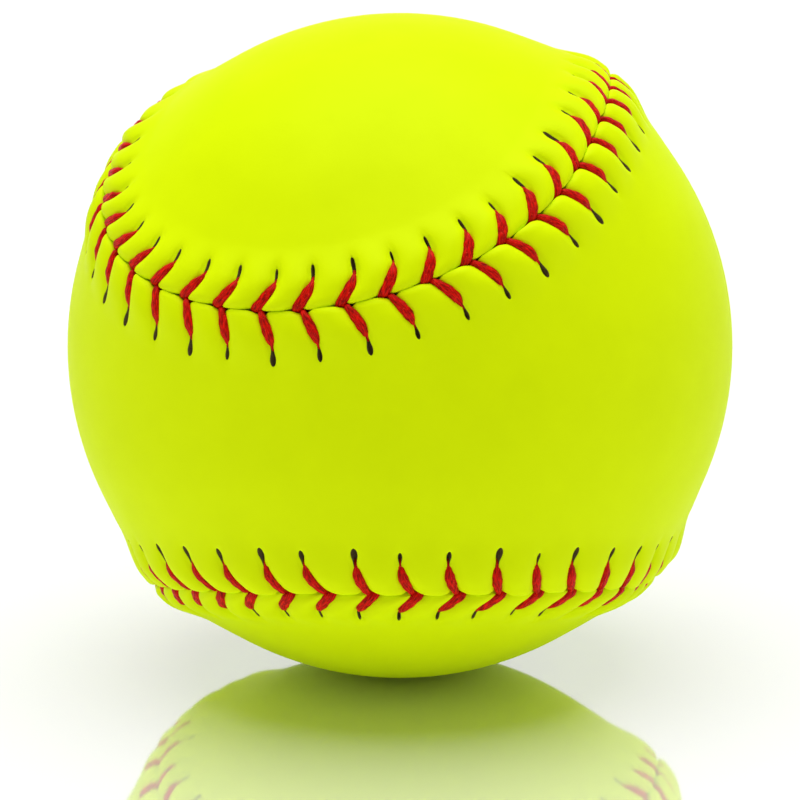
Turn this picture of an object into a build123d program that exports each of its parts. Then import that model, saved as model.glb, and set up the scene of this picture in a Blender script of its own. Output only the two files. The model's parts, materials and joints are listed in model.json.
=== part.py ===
from build123d import *
import os
from math import atan2, cos, degrees, pi, radians, sin

# A softball with a sewn leather cover, in millimetres and degrees
# The ball's centre is the origin, +Z is up, and the seam faces the way it is photographed, looking along +Y

# Ball and layers, from the outside in
ball_circumference = 304.8
cover_thickness = 2.0
cement_thickness = 0.3
winding_thickness = 5.0
layer_clearance = 0.05

# How the ball is turned from the upright seam to the way it lies
turn_about_x = 96.6
turn_about_y = -19.2
turn_about_z = -127.9

# Seam: four runs along great circles, joined by four round lobes that bend right and left in turn
run_length = 28.1
run_tilt = 10.84
seam_gap = 0.3

# Cover band beside the seam, lifted by the thread that runs below it
crown_height = 2.0
crown_reach = 4.8
shoulder_reach = 9.4
shoulder_root = 1.2
edge_depth = 1.5
edge_width = 1.3
tunnel_height = 1.7
tunnel_reach = 6.9

# Stitches: each leg leads from a hole in one panel over its edge and down into the seam
stitch_count = 88
stitch_phase = 0.44
stitch_lean = 2.4
hole_distance = 5.0
leg_height = 1.7
slit_past_hole = 2.0
slit_chamfer = 0.45

# Waxed sewing thread
thread_diameter = 1.1
thread_bend = 1.2
thread_spacing = 1.6
thread_clearance = 0.06
under_clearance = 0.2

# Radii of the layers
ball_radius = ball_circumference / (2 * pi)
cover_inside = ball_radius - cover_thickness
cement_outside = cover_inside - layer_clearance
cement_inside = cement_outside - cement_thickness
winding_outside = cement_inside - layer_clearance
winding_inside = winding_outside - winding_thickness
core_radius = winding_inside - layer_clearance

# Height of the thread's under runs from the base sphere, and half the width of its room in the leather
under_height = under_clearance + thread_diameter / 2 - cover_thickness
thread_room = thread_diameter / 2 + thread_clearance

centre = Vector(0, 0, 0)
right_panel = -1
left_panel = 1


# Lobe of the upright seam: its circle leaves the run's end smoothly and is its own mirror image in x = y
half_run = degrees(run_length / 2 / ball_radius)
run_middle = Vector(1, 0, 0)
run_heading = Vector(0, 0, 1).rotate(Axis.X, run_tilt)
run_left = run_middle.cross(run_heading)
run_end = run_middle.rotate(Axis(centre, run_left), half_run)
lobe_reach = atan2(run_end.X - run_end.Y, run_left.X - run_left.Y)
lobe_axis = run_end * cos(lobe_reach) - run_left * sin(lobe_reach)
lobe_arm = run_end - lobe_axis * lobe_axis.dot(run_end)
lobe_top = Vector(1, -1, 0).cross(lobe_axis)
lobe_sweep = 2 * lobe_arm.get_angle(lobe_top)
lobe_length = radians(lobe_sweep) * lobe_arm.length * ball_radius


def turned(place, axis, angle):
    """The plane turned about an axis through the ball's centre."""
    return Plane(
        origin=place.origin.rotate(axis, angle),
        x_dir=place.x_dir.rotate(axis, angle),
        z_dir=place.z_dir.rotate(axis, angle),
    )


def walk_the_seam():
    """Stretches of the seam in sewing order, each with its length, axis, turn and starting plane.

    A plane on the seam has x ahead, y to the left and z outward.
    """
    lying = Plane(Location(centre, (turn_about_x, turn_about_y, turn_about_z)))
    outward = lying.from_local_coords(run_middle)
    ahead = lying.from_local_coords(run_heading)
    place = Plane(origin=outward * ball_radius, x_dir=ahead, z_dir=outward)
    place = turned(place, Axis(centre, place.y_dir), -half_run)
    stretches = []
    for side in (right_panel, left_panel, right_panel, left_panel):
        run_axis = Axis(centre, place.y_dir)
        stretches.append((run_length, run_axis, 2 * half_run, place))
        place = turned(place, run_axis, 2 * half_run)
        lobe_direction = place.z_dir * cos(lobe_reach) + place.y_dir * side * sin(lobe_reach)
        bend_axis = Axis(centre, lobe_direction * side)
        stretches.append((lobe_length, bend_axis, lobe_sweep, place))
        place = turned(place, bend_axis, lobe_sweep)
    return stretches


seam_stretches = walk_the_seam()
seam_length = sum(length for length, axis, turn, place in seam_stretches)
stitch_pitch = seam_length / stitch_count


def seam_place(distance):
    """The plane on the seam after this length of sewing, counted from the middle of the first run."""
    along = (distance + run_length / 2) % seam_length
    for length, axis, turn, place in seam_stretches:
        if along <= length:
            return turned(place, axis, turn * along / length)
        along -= length


def beside_seam(distance, left, height):
    """A point left of the seam by a length on the base sphere, and above that sphere by a height."""
    place = seam_place(distance)
    outward = place.z_dir.rotate(Axis(centre, place.x_dir), -degrees(left / ball_radius))
    return outward * (ball_radius + height)


def hole_at(stitch):
    """How far along the seam this stitch's two holes are."""
    return (stitch_phase + stitch) * stitch_pitch - stitch_lean


def vertex_at(stitch, side):
    """How far along the seam a leg goes down, with the right panel's leg first."""
    return (stitch_phase + stitch) * stitch_pitch - side * thread_spacing / 2


def leg_points(stitch, side):
    """A leg's corners: below its hole, above it, above the seam and below the seam."""
    hole = hole_at(stitch)
    vertex = vertex_at(stitch, side)
    return [
        beside_seam(hole, side * hole_distance, under_height),
        beside_seam(hole, side * hole_distance, leg_height),
        beside_seam(vertex, 0, leg_height),
        beside_seam(vertex, 0, under_height),
    ]


def thread_route(first_side):
    """One thread's way round the seam, with its legs on the two panels in turn."""
    legs = [leg_points(stitch, first_side * (-1) ** stitch) for stitch in range(stitch_count)]
    edges = []
    for stitch, leg in enumerate(legs):
        points = list(leg)
        if stitch > 0:
            points.insert(0, (legs[stitch - 1][-1] + leg[0]) / 2)
        if stitch < stitch_count - 1:
            points.append((leg[-1] + legs[stitch + 1][0]) / 2)
        edges += FilletPolyline(*points, radius=thread_bend, mode=Mode.PRIVATE).edges()
    return Wire(edges)


def leg_plane(above, vertex):
    """The plane through the ball's centre that holds a leg, with y outward at its middle and x to its hole."""
    return Plane(origin=centre, x_dir=above - vertex, z_dir=(above - vertex).cross(above + vertex))


def leg_room(above, vertex):
    """Outline of a leg's room in the leather: its slit, the groove over the edge and the way down the seam."""
    half_leg = above.get_angle(vertex) / 2
    room = degrees(thread_room / ball_radius)
    chamfer = degrees(slit_chamfer / ball_radius)
    slit_end = half_leg + degrees(slit_past_hole / ball_radius)
    inside = cover_inside + under_height
    outside = ball_radius + 2 * crown_height
    floor = ball_radius + leg_height - thread_room
    corners = [
        (inside, slit_end),
        (outside, slit_end),
        (outside, -half_leg - room),
        (inside, -half_leg - room),
        (inside, room - half_leg),
        (floor - slit_chamfer, room - half_leg),
        (floor, room - half_leg + chamfer),
        (floor, half_leg - room - chamfer),
        (floor - slit_chamfer, half_leg - room),
        (inside, half_leg - room),
    ]
    return [Vector(0, radius).rotate(Axis.Z, -angle) for radius, angle in corners]


def seam_section(place):
    """The plane across a stretch of the seam, with x to the left and y outward from the ball's centre."""
    return Plane(origin=centre, x_dir=place.y_dir, z_dir=place.x_dir)


right_route = thread_route(right_panel)
left_route = thread_route(left_panel)
stitches = [(stitch, side) for stitch in range(stitch_count) for side in (right_panel, left_panel)]
print("seam length", seam_length, "stitch pitch", stitch_pitch)
print("thread lengths", right_route.length, left_route.length)


# Centre of cork and rubber
with BuildPart() as cork_core:
    Sphere(core_radius)

# Layer of wound yarn
with BuildPart() as yarn_winding:
    Sphere(winding_outside)
    Sphere(winding_inside, mode=Mode.SUBTRACT)

# Coat of rubber cement that holds the cover
with BuildPart() as cement_coat:
    Sphere(cement_outside)
    Sphere(cement_inside, mode=Mode.SUBTRACT)

# Everything inside the cover: the ball below it, and a room along the seam for the under runs
with BuildPart() as cover_hollow:
    Sphere(cover_inside)
    for length, axis, turn, place in seam_stretches:
        with BuildSketch(seam_section(place)):
            with Locations((0, cover_inside)):
                Rectangle(2 * tunnel_reach, 2 * tunnel_height)
        revolve(axis=axis, revolution_arc=turn)

# Gap between the panels' edges
with BuildPart() as edge_gap:
    for length, axis, turn, place in seam_stretches:
        with BuildSketch(seam_section(place)):
            with Locations((0, ball_radius)):
                Rectangle(seam_gap, 2 * (cover_thickness + crown_height))
        revolve(axis=axis, revolution_arc=turn)

# Both panels of the cover: a hollow ball with a lifted band along the seam, cut apart there
with BuildPart() as cover:
    Sphere(ball_radius)
    for length, axis, turn, place in seam_stretches:
        with BuildSketch(seam_section(place)):
            with BuildLine():
                Polyline(
                    (0, ball_radius - shoulder_root),
                    (shoulder_reach, ball_radius - shoulder_root),
                    (crown_reach, ball_radius + crown_height),
                    (edge_width, ball_radius + crown_height),
                    (0, ball_radius + crown_height - edge_depth),
                    close=True,
                )
            make_face()
            mirror(about=Plane.YZ)
        revolve(axis=axis, revolution_arc=turn)
    add(cover_hollow.part, mode=Mode.SUBTRACT)
    add(edge_gap.part, mode=Mode.SUBTRACT)
    for stitch, side in stitches:
        below, above, vertex, end = leg_points(stitch, side)
        with BuildSketch(leg_plane(above, vertex)):
            with BuildLine():
                Polyline(*leg_room(above, vertex), close=True)
            make_face()
    extrude(amount=thread_room, both=True, mode=Mode.SUBTRACT)

right_of_run = beside_seam(0, -2 * tunnel_reach, 0)
right_cover, left_cover = cover.solids().sort_by_distance(right_of_run)

with BuildPart() as cover_panel_a:
    add(right_cover)

with BuildPart() as cover_panel_b:
    add(left_cover)

# Two sewing threads, whose legs take the panels' holes in turn
with BuildPart() as seam_thread_a:
    with BuildSketch(Plane(origin=right_route @ 0, z_dir=right_route % 0)):
        Circle(thread_diameter / 2)
    sweep(path=right_route)

with BuildPart() as seam_thread_b:
    with BuildSketch(Plane(origin=left_route @ 0, z_dir=left_route % 0)):
        Circle(thread_diameter / 2)
    sweep(path=left_route)

pieces = {
    "cork_core": cork_core,
    "yarn_winding": yarn_winding,
    "cement_coat": cement_coat,
    "cover_panel_a": cover_panel_a,
    "cover_panel_b": cover_panel_b,
    "seam_thread_a": seam_thread_a,
    "seam_thread_b": seam_thread_b,
}
os.makedirs("parts", exist_ok=True)
for name, piece in pieces.items():
    piece.part.label = name
    export_step(piece.part, f"parts/{name}.step")
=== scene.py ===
import json
from math import atan2, cos, pi, radians, sin, sqrt
from typing import NamedTuple

import bmesh
import bpy
import numpy as np
from bpy.props import FloatProperty, FloatVectorProperty, IntProperty, PointerProperty
from mathutils import Euler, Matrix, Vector
from mathutils.geometry import delaunay_2d_cdt


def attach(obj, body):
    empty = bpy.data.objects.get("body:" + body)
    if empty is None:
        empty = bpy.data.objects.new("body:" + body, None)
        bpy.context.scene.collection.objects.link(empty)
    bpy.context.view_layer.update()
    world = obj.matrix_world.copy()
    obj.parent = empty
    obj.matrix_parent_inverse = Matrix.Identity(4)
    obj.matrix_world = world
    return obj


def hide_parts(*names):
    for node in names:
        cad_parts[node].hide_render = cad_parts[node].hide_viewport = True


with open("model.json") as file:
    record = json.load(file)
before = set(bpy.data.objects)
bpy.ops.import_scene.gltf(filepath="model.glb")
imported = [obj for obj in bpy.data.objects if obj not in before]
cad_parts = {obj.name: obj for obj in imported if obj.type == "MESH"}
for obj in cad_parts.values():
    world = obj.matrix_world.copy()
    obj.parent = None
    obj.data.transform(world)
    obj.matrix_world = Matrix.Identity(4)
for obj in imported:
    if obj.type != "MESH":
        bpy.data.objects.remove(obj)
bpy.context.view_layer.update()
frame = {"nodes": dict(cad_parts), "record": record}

bl_info = {
    "name": "Sewn softball",
    "version": (1, 0, 0),
    "blender": (4, 5, 0),
    "location": "View3D > Sidebar > Softball",
    "description": "Dresses the softball's solids with a leather cover, its raised seam and red stitches",
    "category": "Object",
}

MM = 0.001
RIGHT_PANEL = -1
LEFT_PANEL = 1
IMAGE_SIDE = 800
SENSOR_WIDTH = 36

# The ball rests on the lowest point of its plain cover
REST_HEIGHT = frame["record"]["mounts"][0]["pos_m"][2]

# Places along the seam at which its distance from a point is tried
SEAM_SAMPLES = 1200

# Hand sewing: the chance numbers' start and largest size, and how much of them reaches each form
CHANCE_START = 100
LARGEST_CHANGE = 0.3
PUFF_CHANCE = 0.6
CREASE_CHANCE = 0.4
SLIT_CHANCE = 0.9
OPENING_CHANCE = 1.5

# Bend of a leg seen from above: where its lean ends, as a share of the way to the hole, and two powers
LEAN_REACH = 1.1
LEAN_BEND = 1.8
SPACING_BEND = 1.5

# Share of the band's fall that is on its steep side
STEEP_SHARE = 0.65

# Puffs and creases: the groove as a share of a leg's width, and the power that rounds the puffs
GROOVE_SHARE = 0.3
PUFF_ROUNDING = 0.6

# Where the creases fade out, as shares of the way from the seam to the holes
FADE_START = 1.1
FADE_END = 2.0

# Nooks: their reach from the seam, and how far from a leg they start to close and are closed
NOOK_REACH = 2.4 * MM
NOOK_CLOSING = 0.3 * MM
NOOK_CLOSED = 1.9 * MM

# Room below the band for the thread, from the seam to its wall, with heights from the plain cover
ROOM_NEAR = 0.8 * MM
ROOM_MIDDLE = 3.0 * MM
ROOM_REACH = 7.0 * MM
ROOM_ROOF = -0.5 * MM
ROOM_WALL = 0.3 * MM
WALL_FOOT = 0.4 * MM
ROOM_MARGIN = 1.2 * MM

# Awl slits: how far they start below the leg's end, and their least width and height
SLIT_OVERLAP = 0.4 * MM
NARROWEST_SLIT = 0.05 * MM
LOWEST_SLIT = -0.35 * MM

# Places along a slit, from 0 beside the leg to 1 at its rounded end
NECK_END = 0.2
WIDEST_START = 0.7
ROUND_START = 0.65
START_WALL = 0.04
END_WALL = 0.02

# Such places for the rows before and past the slits, and for columns that are spread out again
BEFORE_SLITS = -1
PAST_SLITS = 2
SPREAD_AGAIN = 1.5

# Depths of a face's corners together, in slit depths, above which it lies in the slit
IN_SLIT = 0.9

# Columns of the band beside each leg, how they crowd there, and how far a slit pushes them
HALF_COLUMNS = 12
RIM_COLUMN = 3
CROWDING = 1.5
PUSHED_REACH = 1.6 * MM

# Rows of the band, and where they keep every second and every fourth column
LIP_ROWS = 8
LEG_ROWS = 7
SLIT_ROWS = 15
PAST_ROWS = 6
COARSE_ROWS = 4
FINE_END = 9.0 * MM
SECOND_START = 9.6 * MM
SECOND_END = 11.4 * MM
FOURTH_START = 12.2 * MM
PLAIN_MARGIN = 0.6 * MM

# Points of the plain cover: their spacing outside and inside, and the area of each in squared spacings
OUTSIDE_SPACING = 1.7 * MM
INSIDE_SPACING = 3.4 * MM
POINT_AREA = 0.866
SAME_POINT = 1e-7

# Stations along the thread, and corners round it
LEG_STATIONS = 20
UNDER_STATIONS = 7
THREAD_CORNERS = 20

# Legs: how they stand out of the leather, sink into their holes and narrow towards the seam
LEG_STAND = 0.65
SINK_START = 0.6
SINK_END = 1.02
SINK_DEPTH = 0.9 * MM
NARROW_START = 0.55
LEG_FOOT = 0.4 * MM

# The thread in its hole, in the seam and below the cover
HOLE_CLEARANCE = 0.05 * MM
HOLE_WIDTH = 0.6
HOLE_THICKNESS = 0.8
RISE_START = 0.3 * MM
SEAM_THICKNESS = 0.8
UNDER_CLEARANCE = 0.2 * MM

# Plies of the thread, and how far they stand out as a share of its thickness
PLIES = 3
PLY_RELIEF = 0.06


def linear_colour(code):
    """An sRGB hex colour as the linear red, green, blue and alpha that Blender's sockets take."""
    channels = [int(code[start:start + 2], 16) / 255 for start in (1, 3, 5)]
    linear = [c / 12.92 if c <= 0.04045 else ((c + 0.055) / 1.055) ** 2.4 for c in channels]
    return (*linear, 1.0)


def length_setting(label, description, millimetres):
    """A length that a user may change, kept in metres."""
    return FloatProperty(
        name=label,
        description=description,
        default=millimetres * MM,
        unit="LENGTH",
        precision=5,
    )


def angle_setting(label, description, degrees):
    """An angle that a user may change, kept in radians."""
    return FloatProperty(name=label, description=description, default=radians(degrees), subtype="ANGLE")


def share_setting(label, description, share):
    """A share from 0 to 1 that a user may change."""
    return FloatProperty(
        name=label,
        description=description,
        default=share,
        min=0,
        max=1,
        subtype="FACTOR",
    )


def light_setting(label, description, strength):
    """A strength of light that a user may change."""
    return FloatProperty(name=label, description=description, default=strength, min=0)


def colour_setting(label, description, code):
    """A colour that a user may change."""
    return FloatVectorProperty(
        name=label,
        description=description,
        default=linear_colour(code),
        size=4,
        min=0,
        max=1,
        subtype="COLOR",
    )


# Settings
class SoftballSeam(bpy.types.PropertyGroup):
    """The ball and the line that its two panels meet on."""

    ball_radius: FloatProperty(
        name="Ball radius",
        description="Radius of the plain cover, away from the raised seam",
        default=-REST_HEIGHT,
        unit="LENGTH",
        precision=5,
    )
    lying_turn: FloatVectorProperty(
        name="Lying turn",
        description="Turn from the upright seam to the way the ball lies, about Z, then Y, then X",
        default=(radians(96.6), radians(-19.2), radians(-127.9)),
        subtype="EULER",
    )
    run_length: length_setting("Run length", "Length of each straight run of the seam", 28.1)
    run_tilt: angle_setting("Run tilt", "Lean of the straight runs from the upright seam's axis", 10.84)
    stitch_count: IntProperty(
        name="Stitches",
        description="Pairs of stitch legs round the seam",
        default=88,
        min=8,
    )
    stitch_phase: FloatProperty(
        name="First stitch",
        description="Place of the first stitch after the middle of the first run, as a share of the pitch",
        default=0.44,
    )
    stitch_lean: length_setting("Stitch lean", "How far the holes lie behind the stitch's point", 2.4)
    right_hole: length_setting("Right hole", "From the seam to the thread's holes in the right panel", 4.2)
    left_hole: length_setting("Left hole", "From the seam to the thread's holes in the left panel", 5.0)
    leg_spacing: length_setting("Leg spacing", "Between a stitch's two legs where they meet the seam", 1.0)


class SoftballCover(bpy.types.PropertyGroup):
    """The two leather panels and the band that the thread lifts beside the seam."""

    thickness: length_setting("Thickness", "Thickness of the leather", 2.0)
    crest_height: length_setting("Crest height", "Rise of the band above the plain cover", 2.1)
    crest_distance: length_setting("Crest distance", "From the seam to where the band starts to fall", 2.4)
    shoulder_reach: length_setting("Shoulder reach", "From the seam to the foot of the steep side", 9.4)
    stretch_reach: length_setting("Stretch reach", "From the seam to where the leather is plain again", 15.0)
    right_edge: length_setting("Right edge", "Rounding of the right panel's edge where it turns in", 1.3)
    left_edge: length_setting("Left edge", "Rounding of the left panel's edge where it turns in", 1.1)
    edge_turn: share_setting(
        "Edge turn",
        "How far round its bend an edge gets before it meets the other panel's",
        0.85,
    )
    edge_gap: length_setting("Edge gap", "From the seam's line to the turned edge", 0.02)
    nook: length_setting("Nook", "How far the edge draws back from the seam beside each leg", 0.4)
    crease_share: share_setting(
        "Crease share",
        "How much of the band's height the thread presses down under each leg",
        0.54,
    )
    right_slit: length_setting("Right slit", "Length of the awl slits in the right panel", 2.1)
    left_slit: length_setting("Left slit", "Length of the awl slits in the left panel", 2.8)
    right_opening: length_setting("Right slit opening", "Widest opening of the right panel's slits", 0.5)
    left_opening: length_setting("Left slit opening", "Widest opening of the left panel's slits", 0.75)
    right_neck: share_setting(
        "Right slit neck",
        "Opening of the right panel's slits beside the thread, as a share of the widest",
        0.85,
    )
    left_neck: share_setting(
        "Left slit neck",
        "Opening of the left panel's slits beside the thread, as a share of the widest",
        0.5,
    )
    slit_depth: length_setting("Slit depth", "Depth of the awl slits", 0.9)
    unevenness: share_setting(
        "Unevenness",
        "How much hand sewing varies the slits, the creases, the puffs and the lean",
        0.12,
    )


class SoftballThread(bpy.types.PropertyGroup):
    """The two waxed sewing threads."""

    right_width: length_setting("Right leg width", "Width of the legs on the right panel, pressed flat", 1.75)
    left_width: length_setting("Left leg width", "Width of the legs on the left panel, pressed flat", 1.5)
    right_start: share_setting("Right leg start", "Width of the right legs at their holes, as a share", 0.32)
    left_start: share_setting("Left leg start", "Width of the left legs at their holes, as a share", 0.5)
    right_full: share_setting("Right leg full", "Where the right legs get widest, from the hole", 0.6)
    left_full: share_setting("Left leg full", "Where the left legs get widest, from the hole", 0.35)
    right_end: share_setting("Right leg end", "Width of the right legs at the seam, as a share", 0.82)
    left_end: share_setting("Left leg end", "Width of the left legs at the seam, as a share", 0.58)
    thickness: length_setting("Thickness", "Thickness of the pressed legs", 1.0)
    diameter: length_setting("Diameter", "Diameter of the thread below the cover", 1.1)
    ply_lay: length_setting("Ply lay", "Length in which the thread's plies turn once", 5.0)
    fibre_width: length_setting("Fibre width", "Width of the fibre bundles that show in the twist", 0.16)


class SoftballColours(bpy.types.PropertyGroup):
    """Colours of the finishes."""

    leather: colour_setting("Leather", "Optic yellow dye of the cover", "#DEF600")
    leather_deep: colour_setting("Deep leather", "The dye where it lies thicker", "#D6EE00")
    # The two slit colours are painted shade: the paler one is the raw fibres' brown darkened by painted
    # shade, and the darker one is deeper painted shade, mixed in at random
    slit: colour_setting("Slit", "Raw fibres inside the awl slits", "#70603A")
    slit_painted_shade: colour_setting("Deep slit", "Waxed fibres at the slits' edges", "#2E210E")
    thread: colour_setting("Thread", "Red dye of the thread", "#E41607")
    # Painted highlight: lighter red flecks for loose fibre ends catching the light
    thread_painted_highlight: colour_setting("Light thread", "Loose fibre ends on the thread", "#FF4A30")
    # Painted shade: this deep red goes into the grooves between the fibre bundles
    thread_painted_groove_shade: colour_setting("Deep thread", "The dye between the fibres", "#640301")
    cork: colour_setting("Cork", "Ground cork of the core", "#A9743F")
    cork_binder: colour_setting("Cork binder", "Rubber between the cork grains", "#4A2E1A")
    yarn: colour_setting("Yarn", "Undyed wound yarn", "#E2D8C3")
    yarn_shade: colour_setting("Yarn shade", "Gaps between the turns of yarn", "#8F8369")
    latex: colour_setting("Latex", "Dried cement on the winding", "#D9BE86")
    latex_thin: colour_setting("Thin latex", "Cement where the yarn shows through", "#C8B48A")
    floor: colour_setting("Floor", "Polished white floor", "#F4F4F4")


class SoftballStudio(bpy.types.PropertyGroup):
    """The camera, the floor and the lamps."""

    camera_height: angle_setting("Camera elevation", "Angle of the camera above the ball's centre", 14)
    camera_distance: length_setting("Camera distance", "From the ball's centre to the camera", 779.6)
    focal_length: FloatProperty(
        name="Focal length",
        description="Focal length of the camera, in millimetres",
        default=240,
        subtype="DISTANCE_CAMERA",
    )
    ball_above_middle: FloatProperty(
        name="Ball above middle",
        description="How far the ball's centre appears above the middle of the image, as a share of its side",
        default=54.4 / IMAGE_SIDE,
    )
    floor_reach: length_setting("Floor reach", "From the ball to each side of the floor", 20000)
    surround_light: light_setting("Surround light", "Light from the white surroundings on the object", 0.17)
    top_lamp: light_setting("Top lamp", "Broad light from above, in watts per square metre", 3.2)
    top_spread: angle_setting("Top lamp spread", "How broad the light from above is", 60)
    top_lean: angle_setting("Top lamp lean", "How far the broad light comes from behind the ball", 3)
    side_lamps: light_setting("Side lamps", "Power of each soft lamp beside the ball, in watts", 0.8)
    side_size: length_setting("Side lamp size", "Side of each soft lamp beside the ball", 700)
    side_distance: length_setting("Side lamp distance", "From the ball to each soft lamp, sideways", 800)
    side_front: length_setting("Side lamp front", "How far in front of the ball the soft lamps are", 100)
    side_height: length_setting("Side lamp height", "How far above the ball's centre the soft lamps are", 150)


# The seam's line
def spun(vector, axis, angles):
    """A vector turned about a unit axis by each of the angles."""
    angles = np.asarray(angles)[..., None]
    across = np.cross(axis, vector)
    along = axis * np.dot(axis, vector)
    return along + (vector - along) * np.cos(angles) + across * np.sin(angles)


def between(values, start, end):
    """A smooth rise from 0 at start to 1 at end."""
    share = np.clip((values - start) / (end - start), 0, 1)
    return share * share * (3 - 2 * share)


class SeamLine:
    """The seam on the plain ball: four runs along great circles, joined by four round lobes."""

    def __init__(self, seam):
        self.radius = seam.ball_radius
        half_run = seam.run_length / 2 / self.radius
        middle = np.array((1.0, 0.0, 0.0))
        heading = np.array((0.0, -sin(seam.run_tilt), cos(seam.run_tilt)))
        left = np.cross(middle, heading)
        run_end = spun(middle, left, half_run)

        # A lobe's circle leaves the run smoothly and is its own mirror image in x = y
        reach = atan2(run_end[0] - run_end[1], left[0] - left[1])
        axis = run_end * cos(reach) - left * sin(reach)
        arm = run_end - axis * np.dot(axis, run_end)
        top = np.cross((1.0, -1.0, 0.0), axis)
        arm_length = np.linalg.norm(arm)
        sweep = 2 * np.arccos(np.dot(arm, top) / arm_length / np.linalg.norm(top))
        lobe_length = sweep * arm_length * self.radius

        lying = np.array(Euler(seam.lying_turn, "ZYX").to_matrix())
        self.neck = lying @ np.array((0.0, 0.0, 1.0))
        outward = lying @ middle
        ahead = lying @ heading
        self.offset = seam.run_length / 2
        self.stretches = []
        left = np.cross(outward, ahead)
        outward, ahead = spun(outward, left, -half_run), spun(ahead, left, -half_run)
        for side in (RIGHT_PANEL, LEFT_PANEL, RIGHT_PANEL, LEFT_PANEL):
            left = np.cross(outward, ahead)
            self.stretches.append((seam.run_length, left, 2 * half_run, outward, ahead))
            outward, ahead = spun(outward, left, 2 * half_run), spun(ahead, left, 2 * half_run)
            bend = side * (outward * cos(reach) + left * side * sin(reach))
            self.stretches.append((lobe_length, bend, sweep, outward, ahead))
            outward, ahead = spun(outward, bend, sweep), spun(ahead, bend, sweep)
        self.length = sum(stretch[0] for stretch in self.stretches)

    def directions(self, along):
        """Outward, ahead and left at each length along the seam, counted from the middle of the first run."""
        along = np.mod(np.asarray(along) + self.offset, self.length)
        outward = np.empty(along.shape + (3,))
        ahead = np.empty(along.shape + (3,))
        start = 0.0
        for length, axis, turn, first_outward, first_ahead in self.stretches:
            here = (along >= start) & (along <= start + length)
            angles = turn * (along[here] - start) / length
            outward[here] = spun(first_outward, axis, angles)
            ahead[here] = spun(first_ahead, axis, angles)
            start += length
        return outward, ahead, np.cross(outward, ahead)

    def points(self, along, to_left, height):
        """Points beside the seam, a length to its left on the plain ball and a height above that ball."""
        outward, ahead, left = self.directions(along)
        angle = (np.asarray(to_left) / self.radius)[..., None]
        direction = outward * np.cos(angle) + left * np.sin(angle)
        return direction * (self.radius + np.asarray(height))[..., None]

    def side_and_distance(self, points):
        """The side of the seam that each direction is on, and its distance from it on the plain ball."""
        along = np.linspace(0, self.length, SEAM_SAMPLES, endpoint=False)
        outward, ahead, left = self.directions(along)
        nearness = points @ outward.T
        nearest = np.argmax(nearness, axis=1)
        distance = np.arccos(np.clip(nearness.max(axis=1), -1, 1)) * self.radius
        side = np.sign(np.sum(points * left[nearest], axis=1))
        return side, distance


class Sewing:
    """The stitches along the seam, and the shape that they give to the leather of one panel."""

    def __init__(self, settings, side):
        self.seam = settings.seam
        self.cover = settings.cover
        self.thread = settings.thread
        self.side = side

        def own(group, setting):
            """The setting that belongs to this panel's side."""
            return getattr(group, ("right_" if side == RIGHT_PANEL else "left_") + setting)

        self.hole = own(self.seam, "hole")
        self.edge = own(self.cover, "edge")
        self.slit = own(self.cover, "slit")
        self.slit_opening = own(self.cover, "opening")
        self.slit_neck = own(self.cover, "neck")
        self.leg_width = own(self.thread, "width")
        self.leg_start = own(self.thread, "start")
        self.leg_full = own(self.thread, "full")
        self.leg_end = own(self.thread, "end")
        self.line = SeamLine(self.seam)
        self.count = self.seam.stitch_count
        self.pitch = self.line.length / self.count

        # Hand sewing differs a little from stitch to stitch, the same in every run of the script
        chance = np.random.default_rng(CHANCE_START + side)
        spread = chance.normal(0, self.cover.unevenness, (4, self.count))
        changes = np.clip(spread, -LARGEST_CHANGE, LARGEST_CHANGE)
        self.lean_change, self.puff_change, self.slit_change, self.crease_change = changes

    def blended(self, changes, stitch):
        """A change of each stitch, read between the stitches too."""
        first = np.floor(stitch).astype(int)
        share = between(stitch - first, 0, 1)
        return changes[first % self.count] * (1 - share) + changes[(first + 1) % self.count] * share

    def vertex(self, stitch):
        """How far along the seam a stitch's point is."""
        return (self.seam.stitch_phase + stitch) * self.pitch

    def leg_line(self, stitch, away):
        """How far ahead of the stitch's point its leg is, at a distance from the seam."""
        lean = self.seam.stitch_lean * (1 + self.blended(self.lean_change, stitch))
        left_over = 1 - np.clip(away / (LEAN_REACH * self.hole), 0, 1)
        near = np.clip(1 - away / self.hole, 0, 1)
        apart = self.side * self.seam.leg_spacing / 2 * near ** SPACING_BEND
        return -lean * (1 - left_over ** LEAN_BEND) - apart

    def crown(self, stitch, away):
        """Height of the band midway between two legs."""
        cover = self.cover
        steep = between(away, cover.crest_distance, cover.shoulder_reach)
        slow = between(away, cover.crest_distance, cover.stretch_reach)
        fall = 1 - STEEP_SHARE * steep - (1 - STEEP_SHARE) * slow
        turn = cover.edge_turn * np.clip(1 - away / self.edge, 0, 1)
        edge = self.edge * (1 - np.sqrt(1 - turn ** 2))
        puff = 1 + PUFF_CHANCE * self.blended(self.puff_change, stitch + 0.5)
        return (cover.crest_height * puff - edge) * fall

    def leather(self, stitch, across, away):
        """Height of the band at a distance from its nearest leg along the seam."""
        groove = GROOVE_SHARE * self.leg_width
        share = np.clip((np.abs(across) - groove) / (self.pitch / 2 - groove), 0, 1)
        bulge = (1 - (1 - share) ** 2) ** PUFF_ROUNDING
        fade = 1 - between(away, FADE_START * self.hole, FADE_END * self.hole)
        crease = self.cover.crease_share * (1 + CREASE_CHANCE * self.blended(self.crease_change, stitch))
        return self.crown(stitch, away) * (1 - crease * fade * (1 - bulge))

    def nook(self, across, away):
        """How far the edge draws back from the seam, at a distance from its nearest leg along the seam."""
        near = max(1 - away / NOOK_REACH, 0)
        return self.cover.nook * near * (1 - between(np.abs(across), NOOK_CLOSING, NOOK_CLOSED))

    def under_height(self):
        """Height of the thread's runs below the cover."""
        return -self.cover.thickness + UNDER_CLEARANCE + self.thread.diameter / 2


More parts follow.
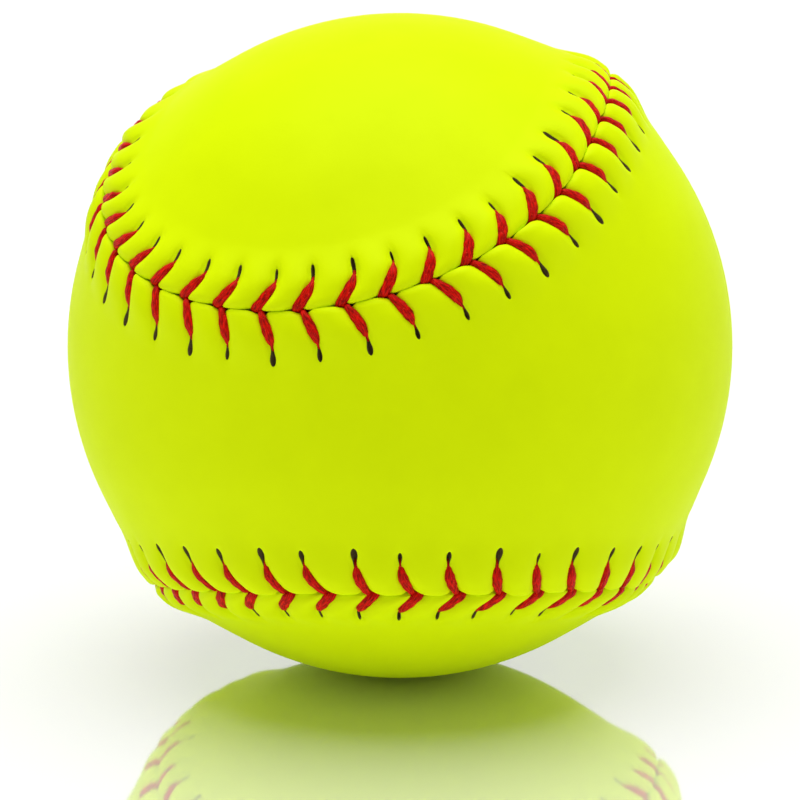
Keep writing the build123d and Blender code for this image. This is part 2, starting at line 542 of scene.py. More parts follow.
# The leather panels
class BandRow(NamedTuple):
    """One row of points along the band.

    It has its distance from the seam, its height if it lies below the leather, its place along the slits,
    how much it gives way to a longer or shorter slit, and which of the columns it keeps.
    """

    away: float
    inner_height: float | None = None
    slit_place: float = BEFORE_SLITS
    give: float = 0
    step: int = 1


def band_rows(sewing):
    """Rows of the band, from inside the ball round the panel's edge to the plain outside."""
    cover = sewing.cover
    inside = -cover.thickness
    rows = [
        BandRow(ROOM_REACH + ROOM_MARGIN, inside, step=4),
        BandRow(ROOM_REACH + WALL_FOOT, inside, step=4),
        BandRow(ROOM_REACH, inside + ROOM_WALL, step=4),
        BandRow(ROOM_REACH - ROOM_WALL, ROOM_ROOF, step=2),
        BandRow(ROOM_MIDDLE, ROOM_ROOF, step=2),
        BandRow(ROOM_NEAR, ROOM_ROOF),
        BandRow(cover.edge_gap, ROOM_ROOF),
        BandRow(cover.edge_gap, 0.0),
    ]

    # Round the edge, then beside the legs
    turn = np.linspace(0, pi / 2, LIP_ROWS)
    lip = cover.edge_gap + (sewing.edge - cover.edge_gap) * (1 - np.cos(turn))
    slit_start = sewing.hole - SLIT_OVERLAP
    rows += [BandRow(away) for away in lip]
    rows += [BandRow(away) for away in np.linspace(lip[-1], slit_start, LEG_ROWS + 2)[1:-1]]

    # Beside the slits, closer together at their ends, and then past them
    for place in (1 - np.cos(np.linspace(0, pi, SLIT_ROWS))) / 2:
        rows.append(BandRow(slit_start + place * sewing.slit, slit_place=place, give=place))
    slit_end = slit_start + sewing.slit
    for past in np.linspace(0, 1, PAST_ROWS + 1)[1:]:
        rows.append(BandRow(slit_end + past * (FINE_END - slit_end), slit_place=1 + past, give=1 - past))

    # Down to the plain cover
    for start, end, step in (
        (SECOND_START, SECOND_END, 2),
        (FOURTH_START, cover.stretch_reach + PLAIN_MARGIN, 4),
    ):
        for away in np.linspace(start, end, COARSE_ROWS):
            rows.append(BandRow(away, slit_place=PAST_SLITS, step=step))
    return rows


class Band:
    """The band of one panel, whose columns of points cross it and are closer together near each leg."""

    def __init__(self, sewing):
        self.sewing = sewing
        steps = np.arange(-HALF_COLUMNS, HALF_COLUMNS)
        columns = np.sign(steps) * sewing.pitch / 2 * np.abs(steps / HALF_COLUMNS) ** CROWDING
        self.rim = columns[HALF_COLUMNS + RIM_COLUMN]
        self.step = np.tile(steps, sewing.count)
        self.across = np.tile(columns, sewing.count)
        self.stitch = np.repeat(np.arange(sewing.count), len(columns))
        self.place = self.stitch + self.across / sewing.pitch

        # A longer slit opens wider, a shorter one stays nearly shut
        change = sewing.blended(sewing.slit_change, self.place)
        self.longer = SLIT_CHANCE * change * sewing.slit
        self.opening = sewing.slit_opening * (1 + OPENING_CHANCE * change)

    def pushed(self, slit_place):
        """The columns' distances from their leg, with those near it drawn together into its slit."""
        neck = self.sewing.slit_neck
        widen = neck + (1 - neck) * between(slit_place, NECK_END, WIDEST_START)
        rounding = max((slit_place - ROUND_START) / (1 - ROUND_START), 0)
        close = sqrt(max(1 - rounding ** 2, 0))
        width = np.maximum(self.opening / 2 * widen * close, NARROWEST_SLIT)
        if slit_place < 0 or slit_place > SPREAD_AGAIN:
            width = self.rim
        size = np.abs(self.across)
        inside = size / self.rim * width
        beside = width + (size - self.rim) * (PUSHED_REACH - width) / (PUSHED_REACH - self.rim)
        moved = np.where(size <= self.rim, inside, np.where(size < PUSHED_REACH, beside, size))
        return np.sign(self.across) * moved

    def slit_depths(self, slit_place):
        """How deep in the slit each column is, as a share of the slit's depth."""
        deep = 0.0
        if 0 < slit_place < 1:
            deep = min(1, slit_place / START_WALL, (1 - slit_place) / END_WALL)
        return np.where(np.abs(self.step) < RIM_COLUMN, deep, 0.0)

    def row_points(self, row):
        """A row's points, and how deep in a slit each one is."""
        sewing = self.sewing
        away = row.away + row.give * self.longer
        if row.inner_height is None:
            across = self.pushed(row.slit_place)
            depths = self.slit_depths(row.slit_place)
            leather = sewing.leather(self.place, across, away)
            slit = np.maximum(leather - depths * sewing.cover.slit_depth, LOWEST_SLIT)
            height = np.where(depths > 0, slit, leather)
        else:
            across = self.across
            depths = np.zeros(len(across))
            height = np.full(len(across), row.inner_height)
        away = away + sewing.nook(across, row.away)
        along = sewing.vertex(self.stitch) + across + sewing.leg_line(self.place, away)
        kept = slice(None, None, row.step)
        points = sewing.line.points(along[kept], sewing.side * away[kept], height[kept])
        return points, depths[kept]


def band_faces(numbers, depths):
    """Faces between neighbouring rows of points, and a mark for each face that lies in a slit."""
    faces, marks = [], []
    for index in range(len(numbers) - 1):
        near, far = numbers[index], numbers[index + 1]
        near_depths, far_depths = depths[index], depths[index + 1]
        count = min(len(near), len(far))
        for n in range(count):
            m = (n + 1) % count
            in_slit = False
            if len(near) == len(far):
                face = (near[n], near[m], far[m], far[n])
                # Faces deep in a slit are marked for the slit material, whose dark colour is painted shade
                in_slit = near_depths[n] + near_depths[m] + far_depths[n] + far_depths[m] > IN_SLIT
            elif len(near) < len(far):
                face = (near[n], near[m], far[2 * m], far[2 * n + 1], far[2 * n])
            else:
                face = (near[2 * n], near[2 * n + 1], near[2 * m], far[m], far[n])
            faces.append(face)
            marks.append(in_slit)
    return faces, marks


def fill_points(sewing, spacing, margin):
    """Evenly spread directions inside one panel, at least a margin away from the seam."""
    count = int(4 * pi * sewing.line.radius ** 2 / (POINT_AREA * spacing ** 2))
    steps = np.arange(count) + 0.5
    height = 1 - 2 * steps / count
    angle = pi * (1 + sqrt(5)) * steps
    ring = np.sqrt(1 - height ** 2)
    directions = np.column_stack((ring * np.cos(angle), ring * np.sin(angle), height))
    side, distance = sewing.line.side_and_distance(directions)
    return directions[(side == sewing.side) & (distance > margin)]


def fill_faces(sewing, ring, inner):
    """Triangles between a ring of directions and the directions inside it, as indices into both in turn."""
    # The ball is laid flat from the middle of the other panel's neck, which is well outside the ring
    neck_side, distance = sewing.line.side_and_distance(sewing.line.neck[None])
    pole = sewing.line.neck * (-1 if neck_side[0] == sewing.side else 1)
    not_the_pole = (0.3, 0.5, 0.8)
    across = np.cross(pole, not_the_pole)
    across /= np.linalg.norm(across)
    upward = np.cross(pole, across)
    directions = np.concatenate((ring, inner))
    scale = 1 / (1 - directions @ pole)
    flat = np.column_stack((directions @ across * scale, directions @ upward * scale))
    edges = [(index, (index + 1) % len(ring)) for index in range(len(ring))]
    inside_only = 1
    result = delaunay_2d_cdt([Vector(point) for point in flat], edges, [], inside_only, SAME_POINT)
    sources = [origin[0] for origin in result[3]]
    return [[sources[corner] for corner in face] for face in result[2]]


def panel_mesh(sewing):
    """Vertices, faces and a mark for each face that lies in a slit, for one leather panel."""
    band = Band(sewing)
    rows = band_rows(sewing)
    vertices, depths, numbers = [], [], []
    first = 0
    for row in rows:
        points, row_depths = band.row_points(row)
        vertices.append(points)
        depths.append(row_depths)
        numbers.append(np.arange(first, first + len(points)))
        first += len(points)
    faces, marks = band_faces(numbers, depths)

    # The plain cover past the last row, and the panel's inside before the first
    for row, height, spacing in (
        (-1, 0.0, OUTSIDE_SPACING),
        (0, -sewing.cover.thickness, INSIDE_SPACING),
    ):
        ring = vertices[row] / np.linalg.norm(vertices[row], axis=1)[:, None]
        inner = fill_points(sewing, spacing, rows[row].away + spacing / 2)
        filled = np.concatenate((numbers[row], np.arange(first, first + len(inner))))
        first += len(inner)
        vertices.append(inner * (sewing.line.radius + height))
        for face in fill_faces(sewing, ring, inner):
            faces.append(tuple(filled[corner] for corner in face))
            marks.append(False)
    return np.concatenate(vertices), faces, marks


# The sewing threads
def leg_stations(sewing, stitch):
    """One leg's way up through its hole, over the leather and down into the seam.

    Each station has its place along the seam, its distance to the seam's left, its height, half its width
    and half its thickness.
    """
    half_thick = sewing.thread.thickness / 2
    round_half = sewing.thread.diameter / 2

    # Over the leather, from the hole to the seam
    away = np.linspace(sewing.hole, LEG_FOOT, LEG_STATIONS)
    pressed = sewing.leather(np.full(LEG_STATIONS, float(stitch)), np.zeros(LEG_STATIONS), away)
    sink = between(away, SINK_START * sewing.hole, SINK_END * sewing.hole) * SINK_DEPTH
    height = pressed + LEG_STAND * half_thick - sink
    way = 1 - away / sewing.hole
    widening = sewing.leg_start + (1 - sewing.leg_start) * between(way, 0.0, sewing.leg_full)
    narrowing = 1 - (1 - sewing.leg_end) * between(way, NARROW_START, 1.0)
    width = sewing.leg_width / 2 * widening * narrowing
    over = np.stack((away, height, width, np.full(LEG_STATIONS, half_thick)))

    # Up from below the cover through the hole
    rise = np.array([
        (sewing.hole + HOLE_CLEARANCE, rise_height, HOLE_WIDTH * round_half, HOLE_THICKNESS * round_half)
        for rise_height in (sewing.under_height() + RISE_START, ROOM_ROOF, 0.0)
    ])
    # Down between the edges, with the distance from the seam, the height and the share of the leg's width
    foot = height[-1]
    fall = np.array([
        (fall_away, fall_height, width[-1] * share, SEAM_THICKNESS * half_thick)
        for fall_away, fall_height, share in (
            (0.15 * MM, foot - 0.2 * MM, 0.95),
            (0.03 * MM, foot - 0.6 * MM, 0.9),
            (0.01 * MM, -0.2 * MM, 0.75),
            (0.01 * MM, -0.8 * MM, 0.65),
        )
    ])
    away, height, width, thick = np.concatenate((rise.T, over, fall.T), axis=1)
    along = sewing.vertex(float(stitch)) + sewing.leg_line(np.full(len(away), float(stitch)), away)
    return np.stack((along, sewing.side * away, height, width, thick))


def thread_stations(settings, first_side):
    """One thread's way round the seam, with its legs on the two panels in turn."""
    sewings = {side: Sewing(settings, side) for side in (RIGHT_PANEL, LEFT_PANEL)}
    shares = np.linspace(0, 1, UNDER_STATIONS + 2)[1:-1]
    parts = []
    for stitch in range(settings.seam.stitch_count):
        sewing = sewings[first_side * (-1) ** stitch]
        leg = leg_stations(sewing, stitch)
        if parts:
            # Below the cover, from the last leg's end to this leg's hole
            start, end = parts[-1][:2, -1:], leg[:2, :1]
            under = np.full((len(leg), UNDER_STATIONS), settings.thread.diameter / 2)
            under[:2] = start + (end - start) * shares
            under[2] = sewing.under_height()
            parts.append(under)
        parts.append(leg)
    stations = np.concatenate(parts, axis=1)

    # The line is eased twice, as a thread bends over an edge
    line = stations[:3]
    for turn in range(2):
        line[:, 1:-1] = 0.25 * line[:, :-2] + 0.5 * line[:, 1:-1] + 0.25 * line[:, 2:]
    return stations


def tube_faces(length, girth):
    """Faces of a closed tube with a ring of corners at each length, and a map of its skin in metres."""
    faces, around = [], []
    count = THREAD_CORNERS
    for station in range(len(length) - 1):
        here, there = station * count, (station + 1) * count
        start, end = length[station], length[station + 1]
        for n in range(count):
            m = (n + 1) % count
            low, high = n / count * girth, (n + 1) / count * girth
            faces.append((here + n, here + m, there + m, there + n))
            around += [(low, start), (high, start), (high, end), (low, end)]
    last = (len(length) - 1) * count
    for cap in (range(count), range(last, last + count)):
        faces.append(tuple(cap))
        around += [(0.0, 0.0)] * count
    return faces, around


def thread_mesh(settings, first_side):
    """Vertices, faces and a map in metres for one thread."""
    thread = settings.thread
    line = SeamLine(settings.seam)
    along, to_left, height, width, thick = thread_stations(settings, first_side)
    centres = line.points(along, to_left, height)
    tangent = np.gradient(centres, axis=0)
    tangent /= np.linalg.norm(tangent, axis=1)[:, None]
    outward, ahead, left = line.directions(along)
    wide = ahead - tangent * np.sum(ahead * tangent, axis=1)[:, None]
    wide /= np.linalg.norm(wide, axis=1)[:, None]
    deep = np.cross(tangent, wide)
    steps = np.linalg.norm(np.diff(centres, axis=0), axis=1)
    length = np.concatenate(((0.0,), np.cumsum(steps)))

    angles = 2 * pi * np.arange(THREAD_CORNERS) / THREAD_CORNERS - pi / 2
    twist = 2 * pi * length / thread.ply_lay
    ply = 1 + PLY_RELIEF * np.cos(PLIES * (angles[None, :] - twist[:, None]))
    x = width[:, None] * np.cos(angles)[None, :] * ply
    y = thick[:, None] * np.sin(angles)[None, :] * ply
    rings = centres[:, None, :] + wide[:, None, :] * x[..., None] + deep[:, None, :] * y[..., None]
    faces, around = tube_faces(length, pi * thread.diameter)
    return rings.reshape(-1, 3), faces, around


def add_piece(name, vertices, faces, materials, marks=None, around=None):
    """A closed, smooth mesh object with its materials, whose faces look outward."""
    mesh = bpy.data.meshes.new(name)
    mesh.from_pydata([tuple(point) for point in vertices], [], [tuple(map(int, face)) for face in faces])
    for material in materials:
        mesh.materials.append(material)
    if marks is not None:
        mesh.polygons.foreach_set("material_index", np.array(marks, dtype=np.int32))
    if around is not None:
        layer = mesh.uv_layers.new(name="thread_length")
        layer.data.foreach_set("uv", np.array(around, dtype=np.float32).ravel())
    mesh.polygons.foreach_set("use_smooth", np.ones(len(mesh.polygons), dtype=bool))
    shell = bmesh.new()
    shell.from_mesh(mesh)
    bmesh.ops.recalc_face_normals(shell, faces=shell.faces)
    shell.to_mesh(mesh)
    shell.free()
    mesh.update()
    piece = bpy.data.objects.new(name, mesh)
    bpy.context.scene.collection.objects.link(piece)
    return piece


# Finishes
def add_node(tree, kind, sockets=None, **settings):
    """One shader node with its settings, and with its sockets set to values or linked from other sockets."""
    node = tree.nodes.new(kind)
    for name, value in settings.items():
        setattr(node, name, value)
    for name, value in (sockets or {}).items():
        if isinstance(value, bpy.types.NodeSocket):
            tree.links.new(value, node.inputs[name])
        else:
            node.inputs[name].default_value = value
    return node


def new_material(name):
    """An empty node material."""
    material = bpy.data.materials.new(name)
    material.use_nodes = True
    material.node_tree.nodes.clear()
    return material, material.node_tree


def dyed_leather(colours):
    """Full-grain leather, dyed right through, rolled smooth and waxed."""
    # The rolled surface shows hardly any pores: a satin gloss, and a dye that lies a little uneven
    material, tree = new_material("full_grain_leather_dyed_and_rolled")
    where = add_node(tree, "ShaderNodeTexCoord").outputs["Object"]
    clouds = add_node(tree, "ShaderNodeTexNoise", {"Vector": where, "Scale": 1 / (9 * MM), "Detail": 3.0})
    dye = add_node(tree, "ShaderNodeMix", {
        0: clouds.outputs["Fac"], 6: colours.leather, 7: colours.leather_deep,
    }, data_type="RGBA")
    # Pores are 0.1 mm apart in the real leather, and are drawn four times as wide so that they show
    pores = add_node(tree, "ShaderNodeTexNoise", {"Vector": where, "Scale": 1 / (0.4 * MM), "Detail": 2.0})
    gloss = add_node(tree, "ShaderNodeMapRange", {
        "Value": clouds.outputs["Fac"], "To Min": 0.5, "To Max": 0.6,
    })
    dents = add_node(tree, "ShaderNodeBump", {
        "Strength": 0.12, "Distance": 0.05 * MM, "Height": pores.outputs["Fac"],
    })
    skin = add_node(tree, "ShaderNodeBsdfPrincipled", {
        "Base Color": dye.outputs[2],
        "Roughness": gloss.outputs["Result"],
        "IOR": 1.5,
        "Specular IOR Level": 0.03,
        "Normal": dents.outputs["Normal"],
    })
    add_node(tree, "ShaderNodeOutputMaterial", {"Surface": skin.outputs["BSDF"]})
    return material


def slit_leather(colours):
    """Raw leather fibres inside a slit that an awl pushed through the cover, coloured dark as painted shade.
    """
    # The pushed fibres are rough, and their near-black colour is partly the raw fibres' own brown and partly
    # painted shade of the slit, with darker patches at random
    material, tree = new_material("raw_leather_awl_cut_painted_shade")
    where = add_node(tree, "ShaderNodeTexCoord").outputs["Object"]
    fibres = add_node(tree, "ShaderNodeTexNoise", {"Vector": where, "Scale": 1 / (0.3 * MM), "Detail": 2.0})
    # Painted shade: the slit's two dark colours, mixed by the fibre noise
    slit_colour_with_painted_shade = add_node(tree, "ShaderNodeMix", {
        0: fibres.outputs["Fac"], 6: colours.slit, 7: colours.slit_painted_shade,
    }, data_type="RGBA")
    rough = add_node(tree, "ShaderNodeBump", {
        "Strength": 0.4, "Distance": 0.1 * MM, "Height": fibres.outputs["Fac"],
    })
    raw = add_node(tree, "ShaderNodeBsdfPrincipled", {
        "Base Color": slit_colour_with_painted_shade.outputs[2],
        "Roughness": 0.8,
        "Specular IOR Level": 0.15,
        "Normal": rough.outputs["Normal"],
    })
    add_node(tree, "ShaderNodeOutputMaterial", {"Surface": raw.outputs["BSDF"]})
    return material


def waxed_thread(colours, thread):
    """Cotton thread, twisted from plies, dyed and drawn through wax, with painted shade in its grooves and
    painted highlights on its fibre ends.
    """
    # Fibre bundles run slantwise round the twist and the wax shines along them; a deeper red between them is
    # painted shade in the grooves
    material, tree = new_material("cotton_thread_twisted_and_waxed")
    where = add_node(tree, "ShaderNodeTexCoord").outputs["UV"]
    width = thread.fibre_width
    laid = add_node(tree, "ShaderNodeMapping", {
        "Vector": where,
        "Rotation": (0, 0, radians(24)),
        "Scale": (1 / width, 1 / (6 * width), 1),
    })
    fibres = add_node(tree, "ShaderNodeTexNoise", {
        "Vector": laid.outputs["Vector"], "Scale": 1.0, "Detail": 3.0, "Roughness": 0.6,
    })
    contrast = add_node(tree, "ShaderNodeMapRange", {
        "Value": fibres.outputs["Fac"], "From Min": 0.32, "From Max": 0.62,
    })
    # Painted shade: the deep red follows the bump's grooves between the fibre bundles
    dye = add_node(tree, "ShaderNodeMix", {
        0: contrast.outputs["Result"], 6: colours.thread_painted_groove_shade, 7: colours.thread,
    }, data_type="RGBA")
    # Painted highlights: flecks of a lighter red where loose fibre ends would catch the light
    ends = add_node(tree, "ShaderNodeTexNoise", {
        "Vector": where, "Scale": 1 / (1.6 * width), "Detail": 2.0,
    })
    highlight_flecks = add_node(tree, "ShaderNodeMapRange", {
        "Value": ends.outputs["Fac"], "From Min": 0.62, "From Max": 0.72, "To Max": 0.6,
    })
    lit = add_node(tree, "ShaderNodeMix", {
        0: highlight_flecks.outputs["Result"], 6: dye.outputs[2], 7: colours.thread_painted_highlight,
    }, data_type="RGBA")
    ridges = add_node(tree, "ShaderNodeBump", {
        "Strength": 0.8, "Distance": 0.12 * MM, "Height": fibres.outputs["Fac"],
    })
    gloss = add_node(tree, "ShaderNodeMapRange", {
        "Value": fibres.outputs["Fac"], "To Min": 0.55, "To Max": 0.35,
    })
    cotton = add_node(tree, "ShaderNodeBsdfPrincipled", {
        "Base Color": lit.outputs[2],
        "Roughness": gloss.outputs["Result"],
        "IOR": 1.45,
        "Specular IOR Level": 0.08,
        "Normal": ridges.outputs["Normal"],
    })
    add_node(tree, "ShaderNodeOutputMaterial", {"Surface": cotton.outputs["BSDF"]})
    return material


def ground_cork(colours):
    """Cork grains bound with rubber and pressed in a mould."""
    # Light grains with dark rubber between them, with no gloss
    material, tree = new_material("ground_cork_bound_with_rubber")
    where = add_node(tree, "ShaderNodeTexCoord").outputs["Object"]
    grains = add_node(tree, "ShaderNodeTexVoronoi", {
        "Vector": where, "Scale": 1 / (2.5 * MM),
    }, feature="DISTANCE_TO_EDGE")
    filling = add_node(tree, "ShaderNodeMapRange", {
        "Value": grains.outputs["Distance"], "From Min": 0.02, "From Max": 0.14,
    })
    shade = add_node(tree, "ShaderNodeMix", {
        0: filling.outputs["Result"], 6: colours.cork_binder, 7: colours.cork,
    }, data_type="RGBA")
    lumps = add_node(tree, "ShaderNodeBump", {
        "Strength": 0.5, "Distance": 0.3 * MM, "Height": filling.outputs["Result"],
    })
    cork = add_node(tree, "ShaderNodeBsdfPrincipled", {
        "Base Color": shade.outputs[2],
        "Roughness": 0.85,
        "Normal": lumps.outputs["Normal"],
    })
    add_node(tree, "ShaderNodeOutputMaterial", {"Surface": cork.outputs["BSDF"]})
    return material


def wound_yarn(colours):
    """Undyed yarn, wound in crossing turns under tension."""
    # Close turns with shaded gaps between them, and a fuzzy, dull surface
    material, tree = new_material("undyed_yarn_wound_tight")
    where = add_node(tree, "ShaderNodeTexCoord").outputs["Object"]
    # The yarn is about 1.2 mm thick, and its turns are drawn wider apart so that they show
    turn_spacing = 2.734 * MM
    diagonal_phase = 10 * sqrt(3)
    turns = add_node(tree, "ShaderNodeTexWave", {
        "Vector": where,
        "Scale": 2 * pi / (diagonal_phase * turn_spacing),
        "Distortion": 6.0,
        "Detail": 1.0,
        "Detail Scale": 0.5,
    }, bands_direction="DIAGONAL")
    shade = add_node(tree, "ShaderNodeMix", {
        0: turns.outputs["Fac"], 6: colours.yarn_shade, 7: colours.yarn,
    }, data_type="RGBA")
    turned = add_node(tree, "ShaderNodeBump", {
        "Strength": 0.8, "Distance": 0.4 * MM, "Height": turns.outputs["Fac"],
    })
    yarn = add_node(tree, "ShaderNodeBsdfPrincipled", {
        "Base Color": shade.outputs[2],
        "Roughness": 0.9,
        "Sheen Weight": 0.3,
        "Normal": turned.outputs["Normal"],
    })
    add_node(tree, "ShaderNodeOutputMaterial", {"Surface": yarn.outputs["BSDF"]})
    return material


def dried_latex(colours):
    """Latex cement, brushed on and left to dry."""
    # A soft gloss with brushed streaks, thin enough in places for the yarn to show
    material, tree = new_material("latex_cement_brushed_and_dried")
    where = add_node(tree, "ShaderNodeTexCoord").outputs["Object"]
    streaks = add_node(tree, "ShaderNodeTexNoise", {
        "Vector": where, "Scale": 1 / (5 * MM), "Detail": 4.0, "Distortion": 1.5,
    })
    shade = add_node(tree, "ShaderNodeMix", {
        0: streaks.outputs["Fac"], 6: colours.latex, 7: colours.latex_thin,
    }, data_type="RGBA")
    brushed = add_node(tree, "ShaderNodeBump", {
        "Strength": 0.4, "Distance": 0.2 * MM, "Height": streaks.outputs["Fac"],
    })
    latex = add_node(tree, "ShaderNodeBsdfPrincipled", {
        "Base Color": shade.outputs[2],
        "Roughness": 0.4,
        "IOR": 1.52,
        "Normal": brushed.outputs["Normal"],
    })
    add_node(tree, "ShaderNodeOutputMaterial", {"Surface": latex.outputs["BSDF"]})
    return material


def polished_floor(colours):
    """White acrylic sheet, polished."""
    # It shows the ball's blurred reflection and its shadow
    material, tree = new_material("white_acrylic_polished")
    where = add_node(tree, "ShaderNodeTexCoord").outputs["Object"]
    haze = add_node(tree, "ShaderNodeTexNoise", {"Vector": where, "Scale": 1 / (40 * MM)})
    blur = add_node(tree, "ShaderNodeMapRange", {
        "Value": haze.outputs["Fac"], "To Min": 0.04, "To Max": 0.06,
    })
    body = add_node(tree, "ShaderNodeBsdfDiffuse", {"Color": colours.floor})
    polish = add_node(tree, "ShaderNodeBsdfGlossy", {
        "Color": linear_colour("#FFFFFF"), "Roughness": blur.outputs["Result"],
    })
    sheet = add_node(tree, "ShaderNodeMixShader", {
        "Fac": 0.62, 1: body.outputs["BSDF"], 2: polish.outputs["BSDF"],
    })
    add_node(tree, "ShaderNodeOutputMaterial", {"Surface": sheet.outputs["Shader"]})
    return material


# The stage
def lay_floor(scene, settings):
    """The floor under the ball's lowest point."""
    reach = settings.studio.floor_reach
    corners = [(-reach, -reach), (reach, -reach), (reach, reach), (-reach, reach)]
    mesh = bpy.data.meshes.new("studio_floor")
    mesh.from_pydata([(x, y, REST_HEIGHT) for x, y in corners], [], [(0, 1, 2, 3)])
    mesh.materials.append(polished_floor(settings.colours))
    floor = bpy.data.objects.new("studio_floor", mesh)
    scene.collection.objects.link(floor)


def set_surroundings(scene, studio):
    """White surroundings, which light the object less than they show."""
    world = bpy.data.worlds.new("white_studio")
    scene.world = world
    world.use_nodes = True
    tree = world.node_tree
    tree.nodes.clear()
    path = add_node(tree, "ShaderNodeLightPath")
    # The floor's mirror image of them is white to the eye, and dimmer where it lights the ball from below
    dimmed = add_node(tree, "ShaderNodeMapRange", {
        "Value": path.outputs["Diffuse Depth"], "To Min": 1.0, "To Max": 0.75,
    })
    mirrored = add_node(tree, "ShaderNodeMath", {
        0: path.outputs["Is Glossy Ray"], 1: dimmed.outputs["Result"],
    }, operation="MULTIPLY")
    seen = add_node(tree, "ShaderNodeMath", {
        0: path.outputs["Is Camera Ray"], 1: mirrored.outputs[0],
    }, operation="MAXIMUM")
    shown = add_node(tree, "ShaderNodeMath", {
        0: seen.outputs[0], 1: path.outputs["Is Transmission Ray"],
    }, operation="MAXIMUM")
    strength = add_node(tree, "ShaderNodeMapRange", {
        "Value": shown.outputs[0], "To Min": studio.surround_light, "To Max": 1.0,
    })
    white = add_node(tree, "ShaderNodeBackground", {
        "Color": linear_colour("#FFFFFF"), "Strength": strength.outputs["Result"],
    })
    add_node(tree, "ShaderNodeOutputWorld", {"Surface": white.outputs["Background"]})


def hang_lamps(scene, studio):
    """A soft lamp on each side, aimed at the ball, and a broad light from above, even over the floor."""
    for name, side in (("left_lamp", -1), ("right_lamp", 1)):
        lamp = bpy.data.lights.new(name, "AREA")
        lamp.shape = "SQUARE"
        lamp.size = studio.side_size
        lamp.energy = studio.side_lamps
        place = Vector((side * studio.side_distance, -studio.side_front, studio.side_height))
        holder = bpy.data.objects.new(name, lamp)
        holder.location = place
        holder.rotation_euler = (-place).to_track_quat("-Z", "Y").to_euler()
        scene.collection.objects.link(holder)

    lamp = bpy.data.lights.new("top_lamp", "SUN")
    lamp.energy = studio.top_lamp
    lamp.angle = studio.top_spread
    holder = bpy.data.objects.new("top_lamp", lamp)
    holder.rotation_euler = (-studio.top_lean, 0, 0)
    scene.collection.objects.link(holder)


def place_camera(scene, studio):
    """The camera, turned down a little so that the ball sits above the middle of the image."""
    camera = bpy.data.cameras.new("camera")
    camera.sensor_width = SENSOR_WIDTH
    camera.lens = studio.focal_length
    camera.clip_start = 10 * MM
    holder = bpy.data.objects.new("camera", camera)
    back = Vector((0, -cos(studio.camera_height), sin(studio.camera_height)))
    tilt = atan2(studio.ball_above_middle * SENSOR_WIDTH, studio.focal_length)
    holder.location = back * studio.camera_distance
    holder.rotation_euler = (pi / 2 - studio.camera_height - tilt, 0, 0)
    scene.collection.objects.link(holder)
    scene.camera = holder


# Operators
class SOFTBALL_OT_cover_panels(bpy.types.Operator):
    """Build the two leather panels with the band, creases and slits that the sewing gives them"""

    bl_idname = "softball.cover_panels"
    bl_label = "Cover panels"

    def execute(self, context):
        settings = context.scene.softball
        # The second material, on the faces marked as lying in a slit, paints the slits' shade
        materials = [dyed_leather(settings.colours), slit_leather(settings.colours)]
        for side, letter in ((RIGHT_PANEL, "a"), (LEFT_PANEL, "b")):
            vertices, faces, marks = panel_mesh(Sewing(settings, side))
            piece = add_piece("leather_panel_" + letter, vertices, faces, materials, marks=marks)
            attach(piece, "root")
            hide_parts("cover_panel_" + letter)
        return {"FINISHED"}


class SOFTBALL_OT_sewing_threads(bpy.types.Operator):
    """Build the two waxed threads, each with its legs on the two panels in turn"""

    bl_idname = "softball.sewing_threads"
    bl_label = "Sewing threads"

    def execute(self, context):
        settings = context.scene.softball
        material = waxed_thread(settings.colours, settings.thread)
        for side, letter in ((RIGHT_PANEL, "a"), (LEFT_PANEL, "b")):
            vertices, faces, around = thread_mesh(settings, side)
            piece = add_piece("sewing_thread_" + letter, vertices, faces, [material], around=around)
            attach(piece, "root")
            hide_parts("seam_thread_" + letter)
        return {"FINISHED"}


class SOFTBALL_OT_inner_layers(bpy.types.Operator):
    """Give the core, the winding and the cement their finishes"""

    bl_idname = "softball.inner_layers"
    bl_label = "Inner layers"

    def execute(self, context):
        colours = context.scene.softball.colours
        for node, material in (
            ("cork_core", ground_cork(colours)),
            ("yarn_winding", wound_yarn(colours)),
            ("cement_coat", dried_latex(colours)),
        ):
            materials = frame["nodes"][node].data.materials
            materials.clear()
            materials.append(material)
        return {"FINISHED"}


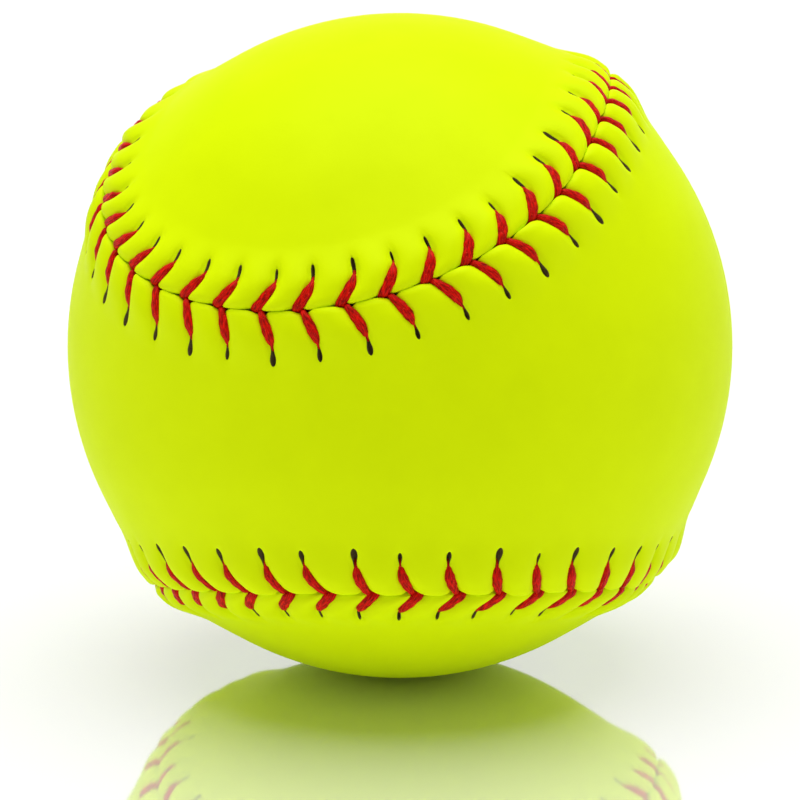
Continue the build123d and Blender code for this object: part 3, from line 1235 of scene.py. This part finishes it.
class SOFTBALL_OT_studio(bpy.types.Operator):
    """Set up the floor, the surroundings, the lamps and the camera"""

    bl_idname = "softball.studio"
    bl_label = "Studio"

    def execute(self, context):
        scene = context.scene
        settings = scene.softball
        scene.view_settings.view_transform = "Standard"
        lay_floor(scene, settings)
        set_surroundings(scene, settings.studio)
        hang_lamps(scene, settings.studio)
        place_camera(scene, settings.studio)
        return {"FINISHED"}


class SoftballSettings(bpy.types.PropertyGroup):
    """All settings of the softball."""

    seam: PointerProperty(type=SoftballSeam)
    cover: PointerProperty(type=SoftballCover)
    thread: PointerProperty(type=SoftballThread)
    colours: PointerProperty(type=SoftballColours)
    studio: PointerProperty(type=SoftballStudio)


class SOFTBALL_PT_sidebar(bpy.types.Panel):
    """Lists the softball's settings and the steps that build it"""

    bl_idname = "SOFTBALL_PT_sidebar"
    bl_label = "Softball"
    bl_space_type = "VIEW_3D"
    bl_region_type = "UI"
    bl_category = "Softball"

    def draw(self, context):
        settings = context.scene.softball
        for name in ("seam", "cover", "thread", "colours", "studio"):
            box = self.layout.box()
            group = getattr(settings, name)
            for key in group.__annotations__:
                box.prop(group, key)
        for operator in OPERATORS:
            self.layout.operator(operator.bl_idname)


OPERATORS = (
    SOFTBALL_OT_inner_layers,
    SOFTBALL_OT_cover_panels,
    SOFTBALL_OT_sewing_threads,
    SOFTBALL_OT_studio,
)
CLASSES = (
    SoftballSeam,
    SoftballCover,
    SoftballThread,
    SoftballColours,
    SoftballStudio,
    SoftballSettings,
    *OPERATORS,
    SOFTBALL_PT_sidebar,
)


def register():
    """Add the classes and the scene's settings."""
    for cls in CLASSES:
        bpy.utils.register_class(cls)
    bpy.types.Scene.softball = PointerProperty(type=SoftballSettings)


def unregister():
    """Take the scene's settings and the classes away again."""
    del bpy.types.Scene.softball
    for cls in reversed(CLASSES):
        bpy.utils.unregister_class(cls)


def main():
    """Build the whole scene in order."""
    register()
    bpy.ops.softball.inner_layers()
    bpy.ops.softball.cover_panels()
    bpy.ops.softball.sewing_threads()
    bpy.ops.softball.studio()


if __name__ == "__main__":
    main()
